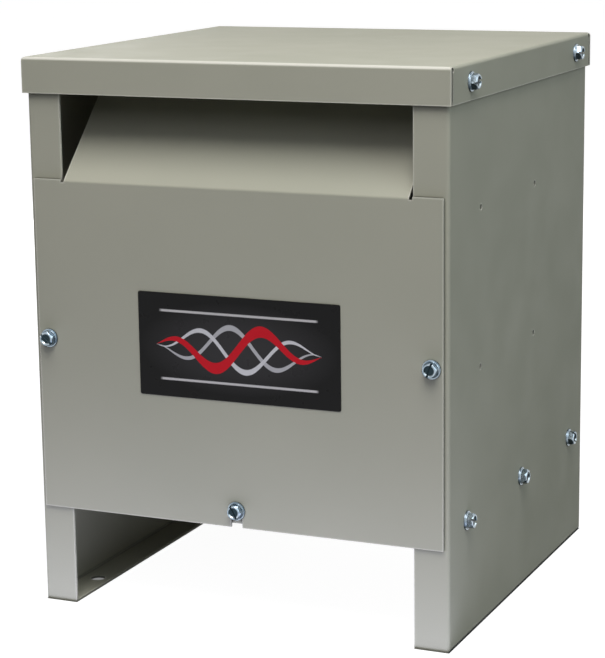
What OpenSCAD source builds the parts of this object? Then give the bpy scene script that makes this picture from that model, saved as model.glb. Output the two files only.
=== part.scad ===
// Three-phase line reactor in a floor-standing ventilated sheet-metal cabinet.
// Millimetres, +Z up, front towards -Y, origin on the floor under the middle of the cabinet.

/* [Cabinet] */
// Width over the side panels
cabinet_w = 261; // [250:1:300]
// Depth over the corner flanges
cabinet_d = 257; // [250:1:300]
// Height from the floor to the top of the lid
cabinet_h = 330; // [320:1:370]
// Thickness of the cabinet sheet
sheet_t = 1.5; // [1.2:0.1:2]
// Inside radius of the sheet bends
bend_r = 0.6; // [0.4:0.1:2]
// Width of the folded flanges on the side panels
flange_w = 21; // [18:0.5:26]
// Height of the covers' lower edge above the floor
leg_h = 60; // [50:0.5:70]

/* [Lid] */
// Height of the lid's skirt
skirt_h = 21; // [18:0.5:24]
// Gap between the lid's skirt and a side panel
lid_side_gap = 0.3; // [0.2:0.1:0.8]
// Gap between the lid's skirt and a corner flange
lid_end_gap = 1.2; // [0.4:0.1:3]
// Width of the open seam at each corner of the skirt
lid_seam = 2; // [0.4:0.1:2.4]
// Diameter of the bend relief at the top of each corner seam
lid_relief_d = 3; // [2.6:0.2:4]

/* [Covers] */
// Margin from the side of the cabinet to the edge of a cover
cover_margin = 3; // [2:0.5:4]
// Height of the air outlet between a cover and the lid's skirt
vent_h = 50; // [40:0.5:58]
// Tilt of the air baffle from upright
baffle_angle = 45; // [40:1:52]
// Length of the baffle beyond its bend
baffle_len = 72; // [60:1:76]
// Gap between the end of a baffle and a corner flange
baffle_gap = 2; // [1:0.5:4]
// Depth of the relief slot at each end of the baffle's bend
bend_relief = 1.6; // [1:0.1:3]
// Distance of the cover screws from the side of the cabinet
cover_screw_in = 9.8; // [9:0.1:11]
// Height of the cover screws above the cover's lower edge
cover_screw_up = 104; // [90:0.5:120]
// Width of the open slot for the cover's lower screw
notch_w = 7.2; // [6:0.1:9]

/* [Screws and holes] */
// Diameter of the cabinet's screw holes
screw_hole_d = 5; // [4:0.1:5.5]
// Pitch of the screws along a side panel
screw_pitch = 99; // [90:0.5:105]
// Diameter of the spare holes in a side panel
spare_hole_d = 3.6; // [3:0.1:5]
// Distance from the front of the cabinet to the first spare holes
spare_hole_in = 52; // [40:0.5:60]
// Height of the lower row of spare holes above the floor
spare_hole_low = 155; // [140:1:170]
// Rise from the lower to the upper row of spare holes
spare_hole_rise = 92; // [80:1:100]
// Diameter of the floor fixing holes
floor_hole_d = 9; // [7:0.5:10]
// Distance of a floor hole from the side of the cabinet
floor_hole_in = 12.5; // [10.5:0.5:13]
// Distance of a floor hole from the front or rear of the cabinet
floor_hole_back = 42; // [30:1:60]

/* [Base pan] */
// Height of the base pan's underside above the covers' lower edge
base_rise = 1.5; // [1:0.1:3]
// Height of the base pan's upturned flanges
base_flange_h = 16; // [14:0.5:20]
// Height of the base screws above the base pan's underside
base_screw_up = 8.5; // [7.5:0.1:9.5]
// Clearance between the base pan and the side panels
base_fit = 0.3; // [0.2:0.1:0.6]
// Land between a clamp foot and an air inlet
inlet_land = 10; // [6:0.5:14]
// Land between an air inlet and the base pan's bend
inlet_rim = 11; // [8:0.5:14]
// Margin from the side of the cabinet to an air inlet
inlet_margin = 38; // [30:0.5:45]
// Corner radius of the air inlets
inlet_r = 8; // [4:0.5:12]

/* [Core] */
// Width of each leg of the core
leg_w = 36; // [32:0.5:40]
// Width of each window between the legs
window_w = 34; // [32:0.5:38]
// Height of the windows
window_h = 98; // [94:1:110]
// Height of the lower and upper yokes
yoke_h = 36; // [34:0.5:40]
// Thickness of the lamination stack
stack_d = 56; // [48:0.5:62]
// Thickness of the spacers in the air gaps
gap_t = 1.6; // [1:0.1:3]

/* [Coils] */
// Clearance between a coil and its leg
coil_fit = 0.8; // [0.5:0.1:1]
// Build of the winding at each side of a leg
coil_side = 13; // [10:0.5:14]
// Build of the winding in front of and behind a leg
coil_end = 15; // [12:0.5:20]
// Height of the winding
coil_h = 90; // [80:1:92]
// Turns to be seen in the height of the winding
coil_turns = 12; // [8:1:16]
// Width of the groove between two turns
turn_gap = 1.2; // [0.8:0.1:1.6]
// Depth of the groove between two turns
turn_depth = 0.8; // [0.4:0.1:1.2]
// Radius of the winding's inner corners
coil_r = 3; // [2:0.5:5]

/* [Clamps and terminals] */
// Thickness of the clamp angles
clamp_t = 3; // [2.5:0.1:4]
// Height of the clamp angles' upright leg
clamp_h = 31; // [26:0.5:33]
// Width of the lower clamps' foot
clamp_foot = 28; // [22:0.5:32]
// Width of the upper clamps' flange
clamp_top = 16; // [10:0.5:18]
// Length of a clamp beyond each end of the core
clamp_over = 8; // [0:0.5:12]
// Radius inside the clamp angles' corner
clamp_r = 3; // [2:0.5:5]
// Width of the terminal straps
strap_w = 20; // [16:0.5:26]
// Thickness of the terminal straps
strap_t = 3; // [2:0.1:4]
// Length of a strap down the face of its coil
strap_lap = 45; // [30:1:60]
// Length of a strap above its coil
strap_rise = 26; // [20:1:28]
// Diameter of the terminal holes
strap_hole_d = 8.5; // [6.5:0.5:10]

/* [Hidden] */
$fn = 48;
bend_steps = 8;
cut = 1;
outer_r = bend_r + sheet_t;
half_w = cabinet_w / 2;
half_d = cabinet_d / 2;
opening_half_w = half_w - flange_w;
panel_top = cabinet_h - sheet_t;

skirt_z = cabinet_h - skirt_h;
lid_half_w = half_w + lid_side_gap + sheet_t;
lid_half_d = half_d + lid_end_gap + sheet_t;
lid_screw_z = skirt_z + skirt_h / 2;

cover_half_w = half_w - cover_margin;
cover_top = skirt_z - vent_h;
cover_screw_z = leg_h + cover_screw_up;
bend_z = cover_top - bend_relief;
baffle_half_w = opening_half_w - baffle_gap;

base_z = leg_h + base_rise;
base_top = base_z + sheet_t;
base_screw_z = base_z + base_screw_up;
base_half_w = half_w - sheet_t - base_fit;
base_half_d = half_d - sheet_t - base_fit;
inlet_inner = stack_d / 2 + clamp_foot + inlet_land;
inlet_outer = half_d - outer_r - inlet_rim;

leg_pitch = leg_w + window_w;
core_w = 3 * leg_w + 2 * window_w;
window_z = base_top + yoke_h;
gap_z = window_z + window_h;
yoke_z = gap_z + gap_t;
core_top = yoke_z + yoke_h;

coil_inner_w = leg_w + 2 * coil_fit;
coil_inner_d = stack_d + 2 * coil_fit;
coil_w = coil_inner_w + 2 * coil_side;
coil_d = coil_inner_d + 2 * coil_end;
coil_top = window_z + coil_h;
strap_hole_z = coil_top + strap_rise - strap_w / 2;

steel_grey = [0.56, 0.56, 0.50];
core_black = [0.13, 0.13, 0.14];
coil_brown = [0.45, 0.28, 0.13];
clamp_grey = [0.30, 0.31, 0.32];
copper = [0.80, 0.48, 0.30];
spacer_tan = [0.72, 0.62, 0.42];

// Profile in X and Z, extruded along Y about the middle.
module along_y(length) {
    translate([0, length / 2, 0]) rotate([90, 0, 0]) linear_extrude(length) children();
}

// Profile in Y and Z, extruded along X about the middle.
module along_x(length) {
    translate([-length / 2, 0, 0]) rotate([90, 0, 90]) linear_extrude(length) children();
}

// Rectangle from one corner to the other with rounded corners.
module rounded(low, high, r) {
    difference() {
        translate(low) square(high - low);
        for (x = [0, 1], y = [0, 1]) {
            corner = [x == 0 ? low.x : high.x, y == 0 ? low.y : high.y];
            inward = [x == 0 ? 1 : -1, y == 0 ? 1 : -1];
            translate(corner) difference() {
                translate([min(0, inward.x * r), min(0, inward.y * r)]) square(r);
                translate(inward * r) circle(r);
            }
        }
    }
}

// Rounded rectangle about the middle.
module rounded_plate(w, d, r) {
    rounded([-w / 2, -d / 2], [w / 2, d / 2], r);
}

// Straight hole along X through one side of the cabinet, at a place in Y and Z.
module side_hole(side, y, z, d) {
    translate([side * half_w, y, z]) rotate([0, 90, 0]) cylinder(h = flange_w, d = d, center = true);
}

// Straight hole along Y through one end of the cabinet, at a place in X and Z.
module end_hole(end, x, z, d) {
    translate([x, end * half_d, z]) rotate([90, 0, 0]) cylinder(h = flange_w, d = d, center = true);
}

// Block bounded by the cabinet's folded walls and floor, set in from its outside.
module cabinet_block(inset, top) {
    intersection() {
        linear_extrude(top) rounded_plate(cabinet_w - 2 * inset, cabinet_d - 2 * inset, outer_r - inset);
        along_y(cabinet_d)
            rounded([-half_w + inset, inset], [half_w - inset, cabinet_h + outer_r], outer_r - inset);
    }
}

// Side wall with its folded front, rear and floor flanges.
module side_panel(side) {
    color(steel_grey) difference() {
        intersection() {
            cabinet_block(0, panel_top);
            translate([side * (half_w - flange_w / 2), 0, panel_top / 2])
                cube([flange_w, cabinet_d, panel_top], center = true);
        }
        cabinet_block(sheet_t, panel_top + cut);
        for (y = [-screw_pitch, 0, screw_pitch]) side_hole(side, y, base_screw_z, screw_hole_d);
        for (y = [-screw_pitch, screw_pitch]) side_hole(side, y, lid_screw_z, screw_hole_d);
        for (y = [0, screw_pitch], z = [0, spare_hole_rise])
            side_hole(side, spare_hole_in - half_d + y, spare_hole_low + z, spare_hole_d);
        for (end = [-1, 1]) {
            end_hole(end, side * (half_w - cover_screw_in), cover_screw_z, screw_hole_d);
            translate([side * (half_w - floor_hole_in), end * (half_d - floor_hole_back), -cut])
                cylinder(h = sheet_t + 2 * cut, d = floor_hole_d);
        }
    }
}

// Floor with upturned sides, set between the side panels, and two air inlets.
module base_pan() {
    tongue_w = 2 * (opening_half_w - base_fit);
    color(steel_grey) difference() {
        union() {
            along_y(2 * base_half_d) base_channel(base_half_w);
            along_x(tongue_w) base_channel(half_d);
        }
        for (side = [-1, 1], y = [-screw_pitch, 0, screw_pitch])
            side_hole(side, y, base_screw_z, screw_hole_d);
        for (end = [-1, 1]) {
            end_hole(end, 0, base_screw_z, screw_hole_d);
            translate([0, end * (inlet_inner + inlet_outer) / 2, base_z - cut])
                linear_extrude(sheet_t + 2 * cut)
                    rounded_plate(cabinet_w - 2 * inlet_margin, inlet_outer - inlet_inner, inlet_r);
        }
    }
}

// Section of the base pan: a floor with one flange at each edge.
module base_channel(half) {
    intersection() {
        difference() {
            rounded([-half, base_z], [half, base_z + 2 * base_flange_h], outer_r);
            rounded([-half + sheet_t, base_top], [half - sheet_t, base_z + 3 * base_flange_h], bend_r);
        }
        translate([-half, base_z]) square([2 * half, base_flange_h]);
    }
}

// Block bounded by the lid's folded faces, set in from its outside.
module lid_block(inset) {
    low = skirt_z - skirt_h;
    high = cabinet_h - inset;
    r = outer_r - inset;
    intersection() {
        along_y(2 * (lid_half_d - inset)) rounded([-lid_half_w + inset, low], [lid_half_w - inset, high], r);
        along_x(2 * (lid_half_w - inset)) rounded([-lid_half_d + inset, low], [lid_half_d - inset, high], r);
    }
}

// Flat top with a folded skirt whose corners are open seams.
module lid() {
    seam_top = cabinet_h - outer_r;
    color(steel_grey) difference() {
        intersection() {
            lid_block(0);
            translate([0, 0, skirt_z + skirt_h / 2])
                cube([2 * lid_half_w, 2 * lid_half_d, skirt_h], center = true);
        }
        lid_block(sheet_t);
        for (side = [-1, 1]) {
            for (y = [-screw_pitch, screw_pitch]) side_hole(side, y, lid_screw_z, screw_hole_d);
            for (end = [-1, 1]) {
                seam = [side * (lid_half_w - sheet_t / 2), end * (lid_half_d - sheet_t - lid_seam / 2)];
                translate([seam.x, seam.y, seam_top - skirt_h / 2])
                    cube([sheet_t, lid_seam, skirt_h], center = true);
                translate([seam.x, seam.y - end * (lid_relief_d - lid_seam) / 2, seam_top])
                    rotate([0, 90, 0]) cylinder(h = sheet_t, d = lid_relief_d, center = true);
            }
        }
    }
}

// Cover on the corner flanges, its top folded inwards between them as an air baffle.
module cover(end) {
    color(steel_grey) mirror([0, end > 0 ? 1 : 0, 0]) difference() {
        union() {
            along_x(2 * baffle_half_w) difference() {
                behind_cover_face(0, 0);
                behind_cover_face(sheet_t, cut);
            }
            for (side = [-1, 1]) mirror([side < 0 ? 1 : 0, 0, 0]) cover_ear();
        }
        for (side = [-1, 1]) end_hole(-1, side * (half_w - cover_screw_in), cover_screw_z, screw_hole_d);
        end_hole(-1, 0, base_screw_z, notch_w);
        translate([-notch_w / 2, -half_d - outer_r, leg_h - cut])
            cube([notch_w, 2 * outer_r, base_screw_z - leg_h + cut]);
    }
}

// Flat of the cover beside its baffle, slotted at the end of the bend, on the +X side.
module cover_ear() {
    translate([baffle_half_w, -half_d, leg_h]) rotate([90, 0, 0]) linear_extrude(sheet_t) difference() {
        square([cover_half_w - baffle_half_w, cover_top - leg_h]);
        translate([-cut, bend_z - leg_h]) square([baffle_gap + cut, bend_relief + cut]);
    }
}

// Region behind a face of the cover: upright below the bend, round it and tilted back above it.
module behind_cover_face(inset, grow) {
    r = outer_r - inset;
    face = inset - half_d - sheet_t;
    bend = [face + r, bend_z];
    arc = [for (step = [0:bend_steps]) bend + r * turned_back(baffle_angle * step / bend_steps - 90)];
    tip = arc[bend_steps] + (baffle_len + grow) * turned_back(baffle_angle);
    heel = tip + (baffle_len + grow) * turned_back(baffle_angle + 90);
    polygon(concat([[face, leg_h - grow]], arc, [tip, heel, [heel.x, leg_h - grow]]));
}

// Direction in the cover's section, turned back from upright by an angle.
function turned_back(angle) = [sin(angle), cos(angle)];

// Lower yoke and three legs of the laminated core.
module core_e_stack() {
    color(core_black) along_y(stack_d) {
        translate([-core_w / 2, base_top]) square([core_w, yoke_h]);
        for (i = [-1, 0, 1])
            translate([i * leg_pitch - leg_w / 2, base_top]) square([leg_w, yoke_h + window_h]);
    }
}

// Upper yoke of the laminated core.
module core_i_stack() {
    color(core_black) along_y(stack_d) translate([-core_w / 2, yoke_z]) square([core_w, yoke_h]);
}

// Spacer that sets the air gap over one leg.
module gap_spacer(i) {
    color(spacer_tan) translate([i * leg_pitch, 0, gap_z])
        linear_extrude(gap_t) rounded_plate(leg_w, stack_d, gap_t / 2);
}

// Winding round one leg, grooved between its turns and standing on the lower yoke.
module coil(i) {
    pitch = coil_h / coil_turns;
    neck = 2 * turn_depth;
    r = coil_r + coil_side;
    color(coil_brown) translate([i * leg_pitch, 0, window_z]) difference() {
        union() {
            linear_extrude(coil_h) rounded_plate(coil_w - neck, coil_d - neck, r - turn_depth);
            for (turn = [0:coil_turns - 1])
                translate([0, 0, turn * pitch + turn_gap / 2])
                    linear_extrude(pitch - turn_gap) rounded_plate(coil_w, coil_d, r);
        }
        translate([0, 0, -cut])
            linear_extrude(coil_h + 2 * cut) rounded_plate(coil_inner_w, coil_inner_d, coil_r);
    }
}

// Angle section with its upright against the core and its flange outwards, along +Y and +Z.
module angle_section(flange) {
    square([flange, clamp_t]);
    square([clamp_t, clamp_h]);
    translate([clamp_t, clamp_t]) difference() {
        square(clamp_r);
        translate([clamp_r, clamp_r]) circle(clamp_r);
    }
}

// Angle along the lower yoke, whose foot stands on the base pan.
module lower_clamp(end) {
    color(clamp_grey) mirror([0, end < 0 ? 1 : 0, 0]) along_x(core_w + 2 * clamp_over)
        translate([stack_d / 2, base_top]) angle_section(clamp_foot);
}

// Angle along the upper yoke, its flange level with the top of the core.
module upper_clamp(end) {
    color(clamp_grey) mirror([0, end < 0 ? 1 : 0, 0]) along_x(core_w + 2 * clamp_over)
        translate([stack_d / 2, core_top]) mirror([0, 1]) angle_section(clamp_top);
}

// Copper strap up the face of one coil, drilled near its rounded upper end.
module terminal(i, end) {
    color(copper) translate([i * leg_pitch, end * (coil_d + strap_t) / 2, 0]) along_y(strap_t) difference() {
        union() {
            translate([-strap_w / 2, coil_top - strap_lap])
                square([strap_w, strap_hole_z - coil_top + strap_lap]);
            translate([0, strap_hole_z]) circle(d = strap_w);
        }
        translate([0, strap_hole_z]) circle(d = strap_hole_d);
    }
}

side_panel(-1);  // left_side_panel
side_panel(1);  // right_side_panel
base_pan();
lid();
cover(-1);  // front_cover
cover(1);  // rear_cover
core_e_stack();
core_i_stack();
gap_spacer(-1);  // left_gap_spacer
gap_spacer(0);  // middle_gap_spacer
gap_spacer(1);  // right_gap_spacer
coil(-1);  // left_coil
coil(0);  // middle_coil
coil(1);  // right_coil
lower_clamp(-1);  // front_lower_clamp
lower_clamp(1);  // rear_lower_clamp
upper_clamp(-1);  // front_upper_clamp
upper_clamp(1);  // rear_upper_clamp
terminal(-1, -1);  // left_line_terminal
terminal(0, -1);  // middle_line_terminal
terminal(1, -1);  // right_line_terminal
terminal(-1, 1);  // left_load_terminal
terminal(0, 1);  // middle_load_terminal
terminal(1, 1);  // right_load_terminal
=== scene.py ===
import math
import bpy
from mathutils import Matrix, Vector


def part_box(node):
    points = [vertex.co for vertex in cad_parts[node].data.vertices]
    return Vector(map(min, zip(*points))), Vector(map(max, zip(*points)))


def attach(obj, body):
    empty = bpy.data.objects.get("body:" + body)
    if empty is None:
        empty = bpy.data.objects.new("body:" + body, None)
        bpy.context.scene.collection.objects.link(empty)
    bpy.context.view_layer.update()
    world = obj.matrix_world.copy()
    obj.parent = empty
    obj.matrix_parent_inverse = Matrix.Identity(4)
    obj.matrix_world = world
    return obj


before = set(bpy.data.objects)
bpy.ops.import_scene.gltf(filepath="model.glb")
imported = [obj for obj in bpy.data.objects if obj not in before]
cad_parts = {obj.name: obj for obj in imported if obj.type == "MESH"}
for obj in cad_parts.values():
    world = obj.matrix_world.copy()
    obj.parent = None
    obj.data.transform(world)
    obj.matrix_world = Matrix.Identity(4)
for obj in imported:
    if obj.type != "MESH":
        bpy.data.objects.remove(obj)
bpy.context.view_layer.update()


# Cabinet. Side panels, base pan, lid and covers are folded from steel sheet and powder coated in a
# warm olive grey. The coat has a fine orange-peel skin and drifts a little in tone. A painted
# highlight lightens cut edges and the lid's front bends; painted shade darkens seams where sheets meet.
def plug(tree, node, inputs):
    for name, value in inputs.items():
        if isinstance(value, bpy.types.NodeSocket):
            tree.links.new(value, node.inputs[name])
        else:
            node.inputs[name].default_value = value


def add_node(tree, kind, inputs=None, **settings):
    made = tree.nodes.new(kind)
    for name, value in settings.items():
        setattr(made, name, value)
    plug(tree, made, inputs or {})
    return made


def new_material(name):
    made = bpy.data.materials.new(name)
    made.use_nodes = True
    made.node_tree.nodes.clear()
    return made, made.node_tree


def show(tree, surface):
    add_node(tree, "ShaderNodeOutputMaterial", {"Surface": surface})


def principled(tree, inputs):
    show(tree, add_node(tree, "ShaderNodeBsdfPrincipled", inputs).outputs["BSDF"])


def coordinates(tree):
    return add_node(tree, "ShaderNodeTexCoord").outputs


def along_axes(tree, vector):
    return add_node(tree, "ShaderNodeSeparateXYZ", {"Vector": vector}).outputs


def maths(tree, operation, *values):
    return add_node(tree, "ShaderNodeMath", dict(enumerate(values)), operation=operation).outputs[0]


def noise_on(tree, scale, detail=2.0, stretch=(1.0, 1.0, 1.0)):
    mapping = add_node(tree, "ShaderNodeMapping", {"Vector": coordinates(tree)["Object"], "Scale": stretch})
    noise = add_node(tree, "ShaderNodeTexNoise",
                     {"Vector": mapping.outputs["Vector"], "Scale": scale, "Detail": detail})
    return noise.outputs[0]


def spread(tree, value, low, high, start=0.3, stop=0.7):
    ranged = add_node(tree, "ShaderNodeMapRange", {
        "Value": value, "From Min": start, "From Max": stop, "To Min": low, "To Max": high})
    return ranged.outputs["Result"]


def opaque(colour):
    return colour if isinstance(colour, bpy.types.NodeSocket) else (*colour, 1.0)


# The Mix node takes its colours on inputs 6 and 7 and gives the blend on output 2.
def blend_colours(tree, factor, first, second):
    mixed = add_node(tree, "ShaderNodeMix", {0: factor, 6: opaque(first), 7: opaque(second)},
                     data_type="RGBA")
    return mixed.outputs[2]


def bumped(tree, height, strength, distance):
    bump = add_node(tree, "ShaderNodeBump", {"Height": height, "Strength": strength, "Distance": distance})
    return bump.outputs["Normal"]


def openness(tree, reach):
    return add_node(tree, "ShaderNodeAmbientOcclusion", {"Distance": reach}, samples=8).outputs["AO"]


def powder_coat():
    coat_dark = (0.395, 0.398, 0.320)
    coat_light = (0.425, 0.425, 0.343)
    edge_highlight_tone = (0.74, 0.735, 0.65)
    edge_radius = 0.0016
    bend_highlight_tone = (0.74, 0.73, 0.65)
    bend_below_top = 0.008
    bend_fade = 0.002
    crevice_shade_tone = (0.035, 0.035, 0.028)
    crevice_shade_reach = 0.0032
    bend_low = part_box("lid")[1].z - bend_below_top
    made, tree = new_material("powder_coat")
    drift = spread(tree, noise_on(tree, scale=7.0, detail=3.0), low=0.0, high=1.0)
    coat = blend_colours(tree, drift, coat_dark, coat_light)

    # Painted highlight: the coat is lightened close to sharp cut edges, where the bevel normal turns away
    # from the true normal.
    rounded = add_node(tree, "ShaderNodeBevel", {"Radius": edge_radius}, samples=6).outputs["Normal"]
    flat = add_node(tree, "ShaderNodeNewGeometry").outputs["True Normal"]
    facing = add_node(tree, "ShaderNodeVectorMath", {0: rounded, 1: flat}, operation="DOT_PRODUCT")
    painted_edge_highlight = spread(tree, facing.outputs["Value"], low=0.80, high=0.0, start=0.82, stop=0.985)
    coat = blend_colours(tree, painted_edge_highlight, coat, edge_highlight_tone)

    # Painted highlight: the coat is lightened on the lid's upper bends that turn forward or back, near its
    # top.
    surface = coordinates(tree)
    turn = along_axes(tree, surface["Normal"])
    slant = maths(tree, "MINIMUM", maths(tree, "ABSOLUTE", turn["Y"]), turn["Z"])
    slanted = spread(tree, slant, low=0.0, high=0.9, start=0.15, stop=0.45)
    height = along_axes(tree, surface["Object"])["Z"]
    on_lid = spread(tree, height, low=0.0, high=1.0, start=bend_low, stop=bend_low + bend_fade)
    coat = blend_colours(tree, maths(tree, "MULTIPLY", slanted, on_lid), coat, bend_highlight_tone)

    # Painted shade: the coat is darkened where ambient occlusion finds another sheet close by, in seams and
    # under the lid's skirts.
    painted_crevice_shade = spread(tree, openness(tree, crevice_shade_reach), low=1.0, high=0.0, start=0.38, stop=0.82)
    principled(tree, {
        "Base Color": blend_colours(tree, painted_crevice_shade, coat, crevice_shade_tone),
        "Roughness": spread(tree, noise_on(tree, scale=40.0, detail=4.0), low=0.55, high=0.65),
        "Specular IOR Level": 0.12,
        "Normal": bumped(tree, noise_on(tree, scale=700.0), strength=0.10, distance=0.0002)})
    return made


def finish_nodes(names, material):
    for name in names:
        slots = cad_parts[name].data.materials
        slots.clear()
        slots.append(material)


finish_nodes(("left_side_panel", "right_side_panel", "base_pan", "lid", "front_cover", "rear_cover"),
             powder_coat())


# Cabinet screws. Slotted hex washer-head sheet-metal screws with dished tops, bright zinc plated,
# hold the covers to the corner flanges and the base, the side panels to the base, and the lid to
# the side panels. Each stops at its own angle, as a driver leaves it.
side_screw_y = 0.099
cover_screw_inset = 0.0098
base_screw_z = 0.070
cover_screw_z = 0.164
screw_sizes = {"Washer Diameter": 0.0111, "Washer Height": 0.0013, "Across Flats": 0.0081,
               "Head Height": 0.0048, "Slot Width": 0.0013, "Slot Depth": 0.0014,
               "Shank Diameter": 0.0047, "Shank Length": 0.0090}


def hex_fastener_tree(name):
    round_sides = 48
    shank_sides = 24
    hex_sides = 6
    corner_per_flats = 0.57735
    tree = bpy.data.node_groups.new(name, "GeometryNodeTree")
    sockets = [("Points", "Geometry")]
    sockets += [(size, "Float") for size in screw_sizes]
    sockets += [("Seed", "Int"), ("Finish", "Material"), ("Recess", "Material")]
    for socket, kind in sockets:
        tree.interface.new_socket(socket, in_out="INPUT", socket_type="NodeSocket" + kind)
    tree.interface.new_socket("Fasteners", in_out="OUTPUT", socket_type="NodeSocketGeometry")
    given = add_node(tree, "NodeGroupInput").outputs

    def times(value, factor):
        return maths(tree, "MULTIPLY", value, factor)

    def plated(mesh):
        made = add_node(tree, "GeometryNodeSetMaterial", {"Geometry": mesh, "Material": given["Finish"]})
        return made.outputs["Geometry"]

    def frustum(sides, low_radius, high_radius, height):
        made = add_node(tree, "GeometryNodeMeshCone", {
            "Vertices": sides, "Radius Top": high_radius, "Radius Bottom": low_radius, "Depth": height})
        return plated(made.outputs["Mesh"])

    def lifted(mesh, lift):
        offset = add_node(tree, "ShaderNodeCombineXYZ", {"Z": lift})
        moved = add_node(tree, "GeometryNodeTransform",
                         {"Geometry": mesh, "Translation": offset.outputs["Vector"]})
        return moved.outputs["Geometry"]

    def common(first, second):
        made = add_node(tree, "GeometryNodeMeshBoolean", operation="INTERSECT", solver="EXACT")
        for mesh in (first, second):
            tree.links.new(mesh, made.inputs[1])
        return made.outputs[0]

    def recessed(mesh, cutter):
        marked = add_node(tree, "GeometryNodeStoreNamedAttribute",
                          {"Geometry": cutter, "Name": "recess", "Value": True},
                          data_type="BOOLEAN", domain="FACE")
        made = add_node(tree, "GeometryNodeMeshBoolean", {0: mesh, 1: marked.outputs["Geometry"]},
                        operation="DIFFERENCE", solver="EXACT")
        return made.outputs[0]

    # Each factor is a share of the size that it multiplies.
    washer = given["Washer Diameter"]
    washer_height = given["Washer Height"]
    rim = frustum(round_sides, times(washer, 0.5), times(washer, 0.49), times(washer_height, 0.6))
    flats = given["Across Flats"]
    slope = frustum(round_sides, times(washer, 0.47), times(flats, 0.56), washer_height)
    head_height = given["Head Height"]
    hex_radius = times(flats, corner_per_flats)
    prism = frustum(hex_sides, hex_radius, hex_radius, head_height)
    chamfer = frustum(round_sides, times(flats, 0.90), times(flats, 0.47), head_height)
    slot_depth = given["Slot Depth"]
    dish = frustum(round_sides, times(flats, 0.32), times(flats, 0.45), slot_depth)
    dish_lift = maths(tree, "ADD", head_height, times(slot_depth, -0.45))
    bar_size = add_node(tree, "ShaderNodeCombineXYZ", {
        "X": times(flats, 2.0), "Y": given["Slot Width"], "Z": times(slot_depth, 2.0)})
    bar = add_node(tree, "GeometryNodeMeshCube", {"Size": bar_size.outputs["Vector"]})
    head = recessed(common(prism, chamfer), lifted(dish, dish_lift))
    head = recessed(head, lifted(plated(bar.outputs["Mesh"]), head_height))
    shank_radius = times(given["Shank Diameter"], 0.5)
    shank_length = given["Shank Length"]
    shank = frustum(shank_sides, shank_radius, shank_radius, shank_length)
    shank = lifted(shank, times(shank_length, -1.0))
    whole = add_node(tree, "GeometryNodeJoinGeometry")
    for piece in (rim, slope, shank, head):
        tree.links.new(piece, whole.inputs[0])

    facing = add_node(tree, "GeometryNodeInputNamedAttribute", {"Name": "facing"}, data_type="FLOAT_VECTOR")
    aligned = add_node(tree, "FunctionNodeAlignRotationToVector",
                       {"Vector": facing.outputs["Attribute"]}, axis="Z")
    # The Random Value node takes the largest angle on input 3 and gives the drawn one on output 1.
    chance = add_node(tree, "FunctionNodeRandomValue", {3: 2.0 * math.pi, "Seed": given["Seed"]},
                      data_type="FLOAT")
    turn = add_node(tree, "FunctionNodeAxisAngleToRotation",
                    {"Axis": (0.0, 0.0, 1.0), "Angle": chance.outputs[1]})
    turned = add_node(tree, "FunctionNodeRotateRotation",
                      {"Rotation": aligned.outputs["Rotation"], "Rotate By": turn.outputs["Rotation"]},
                      rotation_space="LOCAL")
    placed = add_node(tree, "GeometryNodeInstanceOnPoints", {
        "Points": given["Points"], "Instance": whole.outputs[0], "Rotation": turned.outputs["Rotation"]})
    real = add_node(tree, "GeometryNodeRealizeInstances", {"Geometry": placed.outputs["Instances"]})
    in_recess = add_node(tree, "GeometryNodeInputNamedAttribute", {"Name": "recess"}, data_type="BOOLEAN")
    finished = add_node(tree, "GeometryNodeSetMaterial", {
        "Geometry": real.outputs["Geometry"], "Selection": in_recess.outputs["Attribute"],
        "Material": given["Recess"]})
    add_node(tree, "NodeGroupOutput", {"Fasteners": finished.outputs["Geometry"]})
    return tree


def fasteners(name, places, tree, sizes, finish, recess, seed):
    crease = math.radians(28.0)
    points = bpy.data.meshes.new(name)
    points.from_pydata([place for place, facing in places], [], [])
    directions = points.attributes.new("facing", "FLOAT_VECTOR", "POINT")
    for item, (place, facing) in zip(directions.data, places):
        item.vector = facing
    piece = bpy.data.objects.new(name, points)
    bpy.context.collection.objects.link(piece)
    grower = piece.modifiers.new(name, "NODES")
    grower.node_group = tree
    values = dict(sizes, Seed=seed, Finish=finish, Recess=recess)
    for socket in tree.interface.items_tree:
        if socket.in_out == "INPUT" and socket.name in values:
            grower[socket.identifier] = values[socket.name]
    evaluated = piece.evaluated_get(bpy.context.evaluated_depsgraph_get())
    piece.data = bpy.data.meshes.new_from_object(evaluated)
    piece.modifiers.clear()
    bpy.data.meshes.remove(points)
    for polygon in piece.data.polygons:
        polygon.use_smooth = True
    piece.data.set_sharp_from_angle(angle=crease)
    for mark in ("facing", "recess"):
        piece.data.attributes.remove(piece.data.attributes[mark])
    # The tree's mesh primitives leave an empty material slot, which no face uses.
    slots = piece.data.materials
    for index in reversed(range(len(slots))):
        if slots[index] is None:
            slots.pop(index=index)
    return piece


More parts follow.
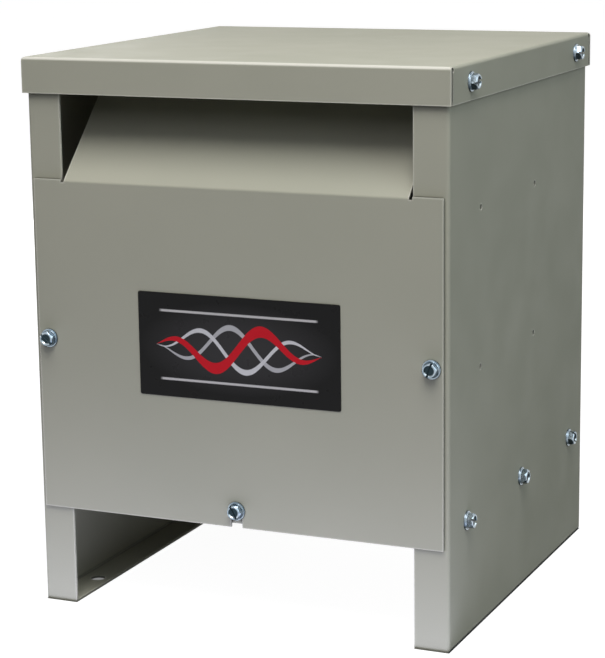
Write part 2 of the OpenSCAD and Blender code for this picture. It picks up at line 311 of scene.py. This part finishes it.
def bright_zinc():
    zinc_pale = (0.52, 0.60, 0.66)
    zinc_blue = (0.24, 0.32, 0.39)
    zinc_shade_tone = (0.030, 0.045, 0.055)
    zinc_shade_reach = 0.0016
    made, tree = new_material("bright_zinc")
    stain = spread(tree, noise_on(tree, scale=260.0, detail=3.0), low=0.0, high=1.0)
    zinc = blend_colours(tree, stain, zinc_pale, zinc_blue)
    # Painted shade and painted reflection: faces of the screws that turn downwards are darkened, as if they
    # mirrored a dark floor.
    upward = along_axes(tree, coordinates(tree)["Normal"])["Z"]
    painted_underside_shade = spread(tree, upward, low=0.95, high=0.0, start=-0.45, stop=0.10)
    zinc = blend_colours(tree, painted_underside_shade, zinc, zinc_shade_tone)
    # Painted shade: the zinc darkens in the slot, the dish and where the washer meets the sheet, where
    # ambient occlusion finds nearby surfaces.
    zinc_crevice_shade = spread(tree, openness(tree, zinc_shade_reach), low=0.97, high=0.0, start=0.45, stop=0.85)
    principled(tree, {
        "Base Color": blend_colours(tree, zinc_crevice_shade, zinc, zinc_shade_tone),
        "Metallic": 1.0,
        "Roughness": spread(tree, noise_on(tree, scale=900.0, detail=3.0), low=0.18, high=0.36),
        "Normal": bumped(tree, noise_on(tree, scale=1800.0), strength=0.12, distance=0.0001)})
    return made


def dished_zinc():
    dish_shade_tone = (0.022, 0.036, 0.043)
    dish_lit = (0.55, 0.63, 0.67)
    made, tree = new_material("dished_zinc")
    # Painted shade: recess walls that turn away from straight up are darkened, and the up-facing floor of
    # the dish keeps a painted light tone.
    upward = along_axes(tree, coordinates(tree)["Normal"])["Z"]
    lit = spread(tree, upward, low=0.0, high=1.0, start=0.20, stop=0.55)
    principled(tree, {
        "Base Color": blend_colours(tree, lit, dish_shade_tone, dish_lit),
        "Metallic": 1.0,
        "Roughness": spread(tree, noise_on(tree, scale=900.0, detail=3.0), low=0.25, high=0.45)})
    return made


def cabinet_screw_places():
    front_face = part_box("front_cover")[0].y
    rear_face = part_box("rear_cover")[1].y
    side_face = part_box("right_side_panel")[1].x
    lid_low, lid_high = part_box("lid")
    lid_z = (lid_low.z + lid_high.z) / 2
    across = side_face - cover_screw_inset
    places = []
    for y, facing in ((front_face, (0, -1, 0)), (rear_face, (0, 1, 0))):
        places += [((x, y, cover_screw_z), facing) for x in (-across, across)]
        places.append(((0, y, base_screw_z), facing))
    for side in (-1, 1):
        facing = (side, 0, 0)
        places += [((side * side_face, y, base_screw_z), facing) for y in (-side_screw_y, 0, side_screw_y)]
        places += [((side * lid_high.x, y, lid_z), facing) for y in (-side_screw_y, side_screw_y)]
    return places


hex_tree = hex_fastener_tree("hex_fasteners")
cabinet_screws = fasteners("cabinet_screws", cabinet_screw_places(), hex_tree, screw_sizes,
                           bright_zinc(), dished_zinc(), seed=3)
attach(cabinet_screws, "root")


# Front plate. A glossy black printed film, stuck on the front cover. Its print is a plain motif of
# three alternating waves, one red and two pale, between thin rules over a soft grey glow.
plate_width = 0.127
plate_height = 0.0612
plate_thickness = 0.0003
plate_corner = 0.0012
plate_x = 0.0031
plate_z = 0.1658


def plate_print():
    film_black = (0.006, 0.006, 0.006)
    film_glow = (0.06, 0.058, 0.06)
    glow_squeeze = 0.9
    grey_ink = (0.45, 0.45, 0.46)
    pale_ink = (0.62, 0.62, 0.63)
    red_ink = (0.56, 0.012, 0.022)
    rule_ink = (0.55, 0.54, 0.53)
    thin_wave = 0.055
    bold_wave = 0.115
    third_turn = 2.0944
    waves = 2.0
    swing = 0.42
    reach = 0.82
    thinnest_bulge = 0.02
    rule_level = 0.66
    rule_stroke = 0.022
    softness = 0.007
    made, tree = new_material("plate_print")
    centred = add_node(tree, "ShaderNodeMapping", {
        "Vector": coordinates(tree)["Object"],
        "Location": (-plate_x / plate_width * 2, 0.0, -plate_z / plate_height * 2),
        "Scale": (2 / plate_width, 1.0, 2 / plate_height)})
    axes = along_axes(tree, centred.outputs["Vector"])
    across = axes["X"]
    up = axes["Z"]
    off_middle = maths(tree, "ABSOLUTE", across)

    def squared(value):
        return maths(tree, "POWER", maths(tree, "ABSOLUTE", value), 2.0)

    def stroke(distance, half_width):
        return spread(tree, maths(tree, "ABSOLUTE", distance), low=1.0, high=0.0,
                      start=half_width - softness, stop=half_width + softness)

    bulge = maths(tree, "SUBTRACT", 1.0, squared(maths(tree, "DIVIDE", across, reach)))
    level_up = maths(tree, "DIVIDE", up, maths(tree, "MAXIMUM", bulge, thinnest_bulge))
    inside = maths(tree, "LESS_THAN", off_middle, reach)

    def wave(phase, half_width):
        angle = maths(tree, "ADD", maths(tree, "MULTIPLY", across, waves * math.pi), phase)
        height = maths(tree, "MULTIPLY", maths(tree, "SINE", angle), swing)
        line = stroke(maths(tree, "SUBTRACT", level_up, height), half_width)
        return maths(tree, "MULTIPLY", line, inside)

    from_middle = maths(tree, "ADD", squared(maths(tree, "MULTIPLY", across, glow_squeeze)), squared(up))
    glow = spread(tree, from_middle, low=0.5, high=0.0, start=0.0, stop=0.8)
    colour = blend_colours(tree, glow, film_black, film_glow)
    for phase, half_width, ink in ((third_turn, thin_wave, grey_ink), (2 * third_turn, thin_wave, pale_ink),
                                   (0.0, bold_wave, red_ink)):
        colour = blend_colours(tree, wave(phase, half_width), colour, ink)
    rule_ends = spread(tree, off_middle, low=1.0, high=0.0, start=0.76, stop=0.79)
    for level in (-rule_level, rule_level):
        line = stroke(maths(tree, "SUBTRACT", up, level), rule_stroke)
        colour = blend_colours(tree, maths(tree, "MULTIPLY", line, rule_ends), colour, rule_ink)
    principled(tree, {
        "Base Color": colour,
        "Roughness": spread(tree, noise_on(tree, scale=120.0, detail=3.0), low=0.26, high=0.36),
        "Specular IOR Level": 0.12,
        "Normal": bumped(tree, noise_on(tree, scale=900.0), strength=0.03, distance=0.0001)})
    return made


def rounded_outline(width, height, radius, steps=6):
    corners = ((1, 1, 0.0), (-1, 1, 90.0), (-1, -1, 180.0), (1, -1, 270.0))
    points = []
    for x, z, start in corners:
        for step in range(steps + 1):
            angle = math.radians(start + 90.0 * step / steps)
            points.append((x * (width / 2 - radius) + radius * math.cos(angle),
                           z * (height / 2 - radius) + radius * math.sin(angle)))
    return points


def front_plate():
    back_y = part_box("front_cover")[0].y
    front_y = back_y - plate_thickness
    outline = rounded_outline(plate_width, plate_height, plate_corner)
    count = len(outline)
    points = [(plate_x + x, y, plate_z + z) for y in (back_y, front_y) for x, z in outline]
    back = tuple(reversed(range(count)))
    front = tuple(range(count, 2 * count))
    rim = []
    for step in range(count):
        after = (step + 1) % count
        rim.append((count + step, step, after, count + after))
    data = bpy.data.meshes.new("front_plate")
    data.from_pydata(points, [], [back, front, *rim])
    piece = bpy.data.objects.new("front_plate", data)
    bpy.context.collection.objects.link(piece)
    data.materials.append(plate_print())
    return piece


plate = front_plate()
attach(plate, "root")


# Core. An E stack and an I stack of thin silicon-steel laminations, dipped in dark varnish, with
# pressboard spacers in the air gaps over the legs. The edges of the sheets show as fine lines.
def varnished_laminations():
    sheet_dark = (0.018, 0.018, 0.020)
    sheet_light = (0.060, 0.058, 0.056)
    varnish_tone = (0.055, 0.040, 0.026)
    sheet_thickness = 0.0010
    band_at_scale_one = 0.314
    made, tree = new_material("varnished_laminations")
    lines = add_node(tree, "ShaderNodeTexWave", {
        "Vector": coordinates(tree)["Object"], "Scale": band_at_scale_one / sheet_thickness,
        "Distortion": 0.6, "Detail": 2.0}, bands_direction="Y").outputs["Fac"]
    tone = blend_colours(tree, lines, sheet_dark, sheet_light)
    varnish = spread(tree, noise_on(tree, scale=30.0, detail=4.0), low=0.0, high=0.5)
    principled(tree, {
        "Base Color": blend_colours(tree, varnish, tone, varnish_tone),
        "Metallic": 0.3,
        "Roughness": spread(tree, noise_on(tree, scale=60.0, detail=3.0), low=0.30, high=0.50),
        "Normal": bumped(tree, lines, strength=0.35, distance=0.0003)})
    return made


def pressboard():
    board_dark = (0.42, 0.31, 0.15)
    board_light = (0.58, 0.46, 0.26)
    made, tree = new_material("pressboard")
    strands = noise_on(tree, scale=900.0, detail=4.0, stretch=(1.0, 0.25, 1.0))
    fibre = spread(tree, strands, low=0.0, high=1.0)
    principled(tree, {
        "Base Color": blend_colours(tree, fibre, board_dark, board_light),
        "Roughness": 0.75,
        "Normal": bumped(tree, fibre, strength=0.2, distance=0.0002)})
    return made


finish_nodes(("core_e_stack", "core_i_stack"), varnished_laminations())
finish_nodes(("left_gap_spacer", "middle_gap_spacer", "right_gap_spacer"), pressboard())


# Coils. Insulated copper turns, wound on each leg and dipped in amber varnish that runs and
# gathers in the grooves between the turns.
def dipped_winding():
    amber_dark = (0.22, 0.085, 0.022)
    amber_light = (0.40, 0.20, 0.065)
    made, tree = new_material("dipped_winding")
    drips = noise_on(tree, scale=60.0, detail=4.0, stretch=(1.0, 1.0, 0.3))
    runs = spread(tree, drips, low=0.0, high=1.0)
    weave = noise_on(tree, scale=700.0, detail=3.0, stretch=(1.0, 1.0, 2.5))
    principled(tree, {
        "Base Color": blend_colours(tree, runs, amber_dark, amber_light),
        "Roughness": spread(tree, noise_on(tree, scale=120.0, detail=3.0), low=0.18, high=0.38),
        "Coat Weight": 0.6,
        "Coat Roughness": 0.15,
        "Normal": bumped(tree, weave, strength=0.25, distance=0.0004)})
    return made


finish_nodes(("left_coil", "middle_coil", "right_coil"), dipped_winding())


# Clamps. Bent steel angles in satin grey along both yokes, drawn up on the core by hex-head bolts
# with washer faces, three to an angle.
clamp_thickness = 0.003
bolt_pitch = 0.08
bolt_sizes = {"Washer Diameter": 0.0175, "Washer Height": 0.0018, "Across Flats": 0.0130,
              "Head Height": 0.0070, "Slot Width": 0.0001, "Slot Depth": 0.0002,
              "Shank Diameter": 0.0080, "Shank Length": 0.0040}


def satin_steel():
    steel_dark = (0.24, 0.25, 0.26)
    steel_light = (0.36, 0.37, 0.38)
    made, tree = new_material("satin_steel")
    rolling = noise_on(tree, scale=90.0, detail=4.0, stretch=(0.05, 1.0, 1.0))
    drawn = spread(tree, rolling, low=0.0, high=1.0)
    principled(tree, {
        "Base Color": blend_colours(tree, drawn, steel_dark, steel_light),
        "Metallic": 0.85,
        "Roughness": spread(tree, noise_on(tree, scale=140.0, detail=3.0), low=0.35, high=0.55),
        "Normal": bumped(tree, drawn, strength=0.1, distance=0.0002)})
    return made


def clamp_bolt_places():
    lower_rise = 0.58
    upper_rise = 0.45
    places = []
    for level, rise in (("lower", lower_rise), ("upper", upper_rise)):
        for end, outward in (("front", -1), ("rear", 1)):
            low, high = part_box(end + "_" + level + "_clamp")
            face = low.y + clamp_thickness if outward > 0 else high.y - clamp_thickness
            z = low.z + rise * (high.z - low.z)
            places += [((x, face, z), (0, outward, 0)) for x in (-bolt_pitch, 0.0, bolt_pitch)]
    return places


clamp_steel = satin_steel()
finish_nodes(("front_lower_clamp", "rear_lower_clamp", "front_upper_clamp", "rear_upper_clamp"),
             clamp_steel)
clamp_bolts = fasteners("clamp_bolts", clamp_bolt_places(), hex_tree, bolt_sizes,
                        clamp_steel, clamp_steel, seed=8)
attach(clamp_bolts, "root")


# Terminals. Flat copper straps brought up the coil faces, brushed along their length and
# browned a little where the varnish was baked.
def baked_copper():
    copper_dark = (0.74, 0.36, 0.20)
    copper_light = (0.86, 0.48, 0.30)
    heat_tone = (0.42, 0.20, 0.11)
    made, tree = new_material("baked_copper")
    brush = spread(tree, noise_on(tree, scale=1500.0, stretch=(1.0, 1.0, 0.04)), low=0.0, high=1.0)
    heat = spread(tree, noise_on(tree, scale=50.0, detail=3.0), low=0.0, high=0.7)
    copper = blend_colours(tree, brush, copper_dark, copper_light)
    principled(tree, {
        "Base Color": blend_colours(tree, heat, copper, heat_tone),
        "Metallic": 1.0,
        "Roughness": spread(tree, brush, low=0.22, high=0.38, start=0.0, stop=1.0),
        "Normal": bumped(tree, brush, strength=0.08, distance=0.0001)})
    return made


terminal_copper = baked_copper()
for phase in ("left", "middle", "right"):
    finish_nodes((phase + "_line_terminal", phase + "_load_terminal"), terminal_copper)


# Studio. A pale floor and a white surround, a broad lamp overhead and a small one in front, a card
# on the floor, fills at the right side and at the rear, and the camera a little above the cabinet
# and off its right-hand front corner.
floor_tone = (0.15, 0.15, 0.15)
shadow_tone = (0.22, 0.22, 0.22)
near_glow = 0.965
bolt_across = 0.118
bolt_along = 0.0865
hole_radius = 0.006
hole_light = 0.22
floor_half = 6.0
surround_light = 0.01


def seen_directly(tree):
    path = add_node(tree, "ShaderNodeLightPath").outputs
    mirrored = maths(tree, "MAXIMUM", path["Is Camera Ray"], path["Is Glossy Ray"])
    return maths(tree, "MAXIMUM", mirrored, path["Is Transmission Ray"])


def white_floor():
    panel_low, panel_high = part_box("right_side_panel")
    half_flange = (panel_high.x - panel_low.x) / 2
    made, tree = new_material("white_floor")
    place = coordinates(tree)["Object"]
    axes = along_axes(tree, place)
    off_x = maths(tree, "ABSOLUTE", axes["X"])
    off_y = maths(tree, "ABSOLUTE", axes["Y"])
    # Painted shadow: the floor's glow is taken away under the side panels' floor flanges, and in the bolt
    # holes a share of it is kept as a painted patch of light.
    off_flange = maths(tree, "ABSOLUTE", maths(tree, "SUBTRACT", off_x, panel_high.x - half_flange))
    under_x = maths(tree, "LESS_THAN", off_flange, half_flange)
    under_y = maths(tree, "LESS_THAN", off_y, panel_high.y)
    bolt_x = maths(tree, "SUBTRACT", off_x, bolt_across)
    bolt_y = maths(tree, "SUBTRACT", off_y, bolt_along)
    from_bolt = maths(tree, "ADD", maths(tree, "MULTIPLY", bolt_x, bolt_x),
                      maths(tree, "MULTIPLY", bolt_y, bolt_y))
    in_hole = maths(tree, "LESS_THAN", from_bolt, hole_radius ** 2)
    off_hole = maths(tree, "SUBTRACT", 1.0, maths(tree, "MULTIPLY", in_hole, hole_light))
    flange_shadow = maths(tree, "MULTIPLY", maths(tree, "MULTIPLY", under_x, under_y), off_hole)
    seen = maths(tree, "MULTIPLY", seen_directly(tree), maths(tree, "SUBTRACT", 1.0, flange_shadow))
    radius = add_node(tree, "ShaderNodeVectorMath", {0: place}, operation="LENGTH").outputs["Value"]
    bright = spread(tree, radius, low=near_glow, high=1.0, start=0.15, stop=0.9)
    matt = add_node(tree, "ShaderNodeBsdfDiffuse",
                    {"Color": blend_colours(tree, seen, floor_tone, shadow_tone)})
    glow = add_node(tree, "ShaderNodeEmission",
                    {"Color": (1.0, 1.0, 1.0, 1.0), "Strength": maths(tree, "MULTIPLY", seen, bright)})
    both = add_node(tree, "ShaderNodeAddShader", {0: matt.outputs["BSDF"], 1: glow.outputs["Emission"]})
    show(tree, both.outputs["Shader"])
    return made


floor_data = bpy.data.meshes.new("floor")
floor_data.from_pydata([(-floor_half, -floor_half, 0.0), (floor_half, -floor_half, 0.0),
                        (floor_half, floor_half, 0.0), (-floor_half, floor_half, 0.0)], [], [(0, 1, 2, 3)])
floor = bpy.data.objects.new("floor", floor_data)
bpy.context.collection.objects.link(floor)
floor_data.materials.append(white_floor())

world = bpy.data.worlds.new("surround")
bpy.context.scene.world = world
world.use_nodes = True
world_tree = world.node_tree
shown = spread(world_tree, seen_directly(world_tree), low=surround_light, high=1.0, start=0.0, stop=1.0)
plug(world_tree, world_tree.nodes["Background"], {"Color": (1.0, 1.0, 1.0, 1.0), "Strength": shown})


def lamp(name, place, target, width, height, power, colour):
    data = bpy.data.lights.new(name, "AREA")
    data.shape = "RECTANGLE"
    data.size = width
    data.size_y = height
    data.energy = power
    data.color = colour
    made = bpy.data.objects.new(name, data)
    bpy.context.collection.objects.link(made)
    made.location = place
    made.rotation_euler = (Vector(target) - Vector(place)).to_track_quat("-Z", "Y").to_euler()


middle = (0.0, 0.0, 0.16)
lamp("overhead", place=(0.22, -0.70, 1.515), target=middle, width=0.9, height=1.05,
     power=21.0, colour=(0.985, 0.96, 0.96))
lamp("front", place=(0.20, -1.30, 0.92), target=middle, width=0.9, height=0.60,
     power=2.2, colour=(0.90, 0.90, 0.96))
lamp("floor_card", place=(0.0, -0.1945, 0.001), target=(0.0, -0.1945, 1.0), width=0.5, height=0.13,
     power=0.41, colour=(0.76, 0.77, 1.0))
lamp("side_fill", place=(1.2, -0.3, 0.85), target=middle, width=1.0, height=1.0,
     power=4.85, colour=(0.83, 0.955, 1.0))
lamp("rear_fill", place=(-1.2, 1.1, 0.45), target=middle, width=1.0, height=0.5,
     power=8.0, colour=(1.0, 1.0, 1.0))
lamp("low_rear_fill", place=(-0.9, 1.2, 0.18), target=middle, width=1.2, height=0.26,
     power=7.0, colour=(1.0, 1.0, 1.0))

camera_azimuth = math.radians(23.82)
camera_elevation = math.radians(11.89)
camera_roll = math.radians(-0.77)
camera_distance = 1.3582
camera_target = Vector((-0.01395, 0.0, 0.15124))
camera_lens = 118.07
camera_sensor = 36.0
camera_data = bpy.data.cameras.new("camera")
camera_data.sensor_width = camera_sensor
camera_data.lens = camera_lens
camera = bpy.data.objects.new("camera", camera_data)
bpy.context.collection.objects.link(camera)
behind = Vector((math.sin(camera_azimuth) * math.cos(camera_elevation),
                 -math.cos(camera_azimuth) * math.cos(camera_elevation), math.sin(camera_elevation)))
camera.matrix_world = (Matrix.Translation(camera_target + behind * camera_distance)
                       @ behind.to_track_quat("Z", "Y").to_matrix().to_4x4()
                       @ Matrix.Rotation(camera_roll, 4, "Z"))
bpy.context.scene.camera = camera
bpy.context.scene.view_settings.view_transform = "Standard"
